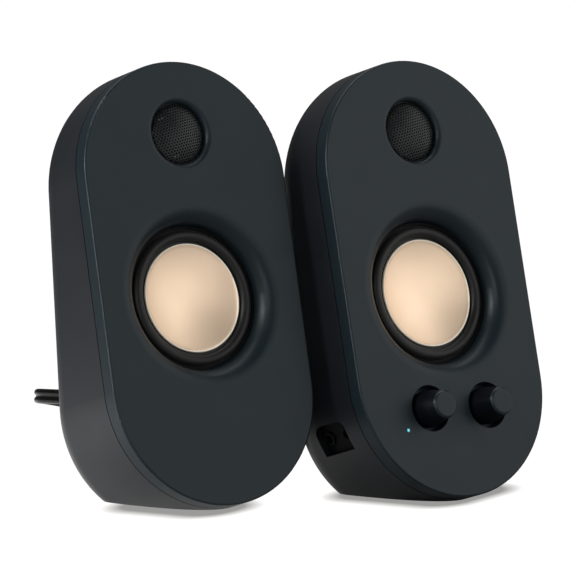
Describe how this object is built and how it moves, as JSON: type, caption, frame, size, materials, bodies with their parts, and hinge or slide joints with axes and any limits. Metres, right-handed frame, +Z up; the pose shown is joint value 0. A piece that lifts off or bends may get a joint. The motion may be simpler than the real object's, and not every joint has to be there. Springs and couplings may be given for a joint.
{
  "type": "desktop speakers",
  "caption": "Pair of leaning stadium-faced desktop speakers with dished woofers, mesh-covered tweeters, front knobs and a link lead coiled behind.",
  "frame": {"origin": "centre of the pair's footprint box, on the surface that both cabinets stand on; the link lead isn't counted", "axes": "+X to the right across the pair, +Y towards the backs, +Z up"},
  "size_m": [0.2125, 0.1747, 0.1864],
  "materials": {
    "bezel_plastic": "satin moulded, fine grain",
    "shell_plastic": "satin moulded, fine grain",
    "black_steel": "satin black",
    "gasket_rubber": "matte",
    "surround_rubber": "satin",
    "cone_metal": "satin champagne anodised",
    "bare_aluminium": "plain",
    "copper_winding": "enamelled wire",
    "spider_cloth": "corrugated treated cloth",
    "zinc_steel": "zinc plated",
    "ferrite": "ceramic ferrite, matte",
    "mesh_metal": "perforated, satin black",
    "black_plastic": "plain",
    "dome_silk": "coated cloth",
    "screw_steel": "dark zinc",
    "capacitor_sleeve": "shrink sleeve",
    "foot_rubber": "matte",
    "knob_plastic": "satin",
    "light_lens": "clear light pipe",
    "lamp_plastic": "clear blue-white",
    "board_green": "solder mask",
    "heatsink_aluminium": "extruded, plain",
    "jack_plastic": "polished black",
    "nickel": "nickel plated",
    "lead_rubber": "semi-gloss sheath",
    "tie_plastic": "plain",
    "plug_plastic": "moulded"
  },
  "bodies": {
    "cabinets": {"amp_board": "board_green", "amp_board_screws": "screw_steel", "amp_capacitors": "capacitor_sleeve", "amp_heatsink": "heatsink_aluminium", "coil_tie": "tie_plastic", "housing_screws": "screw_steel", "left_front_bezel": "bezel_plastic", "left_magnet": "ferrite", "left_rear_shell": "shell_plastic", "left_spider": "spider_cloth", "left_top_plate": "zinc_steel", "left_tweeter_frame": "black_plastic", "left_tweeter_magnet": "zinc_steel", "left_tweeter_mesh": "mesh_metal", "left_woofer_basket": "black_steel", "left_woofer_gasket": "gasket_rubber", "left_woofer_surround": "surround_rubber", "left_yoke": "zinc_steel", "link_lead": "lead_rubber", "link_lead_coil": "lead_rubber", "link_plug": "plug_plastic", "link_socket": "nickel", "pot_nuts": "screw_steel", "power_inlet": "jack_plastic", "power_lamp": "lamp_plastic", "power_light_lens": "light_lens", "rear_panel": "black_plastic", "right_front_bezel": "bezel_plastic", "right_magnet": "ferrite", "right_rear_shell": "shell_plastic", "right_spider": "spider_cloth", "right_top_plate": "zinc_steel", "right_tweeter_frame": "black_plastic", "right_tweeter_magnet": "zinc_steel", "right_tweeter_mesh": "mesh_metal", "right_woofer_basket": "black_steel", "right_woofer_gasket": "gasket_rubber", "right_woofer_surround": "surround_rubber", "right_yoke": "zinc_steel", "rubber_feet": "foot_rubber", "side_jack_plate": "black_plastic", "side_jacks": "jack_plastic", "strain_relief": "lead_rubber", "tone_pot_body": "zinc_steel", "tweeter_capacitors": "capacitor_sleeve", "volume_pot_body": "zinc_steel", "woofer_screws": "screw_steel"},
    "left_woofer": {"left_woofer_cone": "cone_metal", "left_coil_former": "bare_aluminium", "left_voice_coil": "copper_winding"},
    "right_woofer": {"right_woofer_cone": "cone_metal", "right_coil_former": "bare_aluminium", "right_voice_coil": "copper_winding"},
    "left_tweeter": {"left_tweeter_dome": "dome_silk"},
    "right_tweeter": {"right_tweeter_dome": "dome_silk"},
    "volume": {"volume_knob": "knob_plastic", "volume_pot_shaft": "bare_aluminium"},
    "tone": {"tone_knob": "knob_plastic", "tone_pot_shaft": "bare_aluminium"}
  },
  "joints": [
    {"name": "left_woofer_stroke", "type": "slide", "parent": "cabinets", "child": "left_woofer", "axis": [0, -0.9576, 0.288], "range_m": [-0.002, 0.002], "stiffness_N_per_m": 1200, "deforming": ["left_woofer_surround", "left_spider"]},
    {"name": "right_woofer_stroke", "type": "slide", "parent": "cabinets", "child": "right_woofer", "axis": [0.063, -0.9555, 0.288], "range_m": [-0.002, 0.002], "stiffness_N_per_m": 1200, "deforming": ["right_woofer_surround", "right_spider"]},
    {"name": "left_tweeter_stroke", "type": "slide", "parent": "cabinets", "child": "left_tweeter", "axis": [0, -0.9576, 0.288], "range_m": [-0.0003, 0.0003], "stiffness_N_per_m": 600},
    {"name": "right_tweeter_stroke", "type": "slide", "parent": "cabinets", "child": "right_tweeter", "axis": [0.063, -0.9555, 0.288], "range_m": [-0.0003, 0.0003], "stiffness_N_per_m": 600},
    {"name": "volume_turn", "type": "hinge", "parent": "cabinets", "child": "volume", "pos_m": [0.04324, -0.03769, 0.04125], "axis": [0.063, -0.9555, 0.288], "range_deg": [-150, 150]},
    {"name": "tone_turn", "type": "hinge", "parent": "cabinets", "child": "tone", "pos_m": [0.07427, -0.03564, 0.04125], "axis": [0.063, -0.9555, 0.288], "range_deg": [-150, 150]}
  ]
}
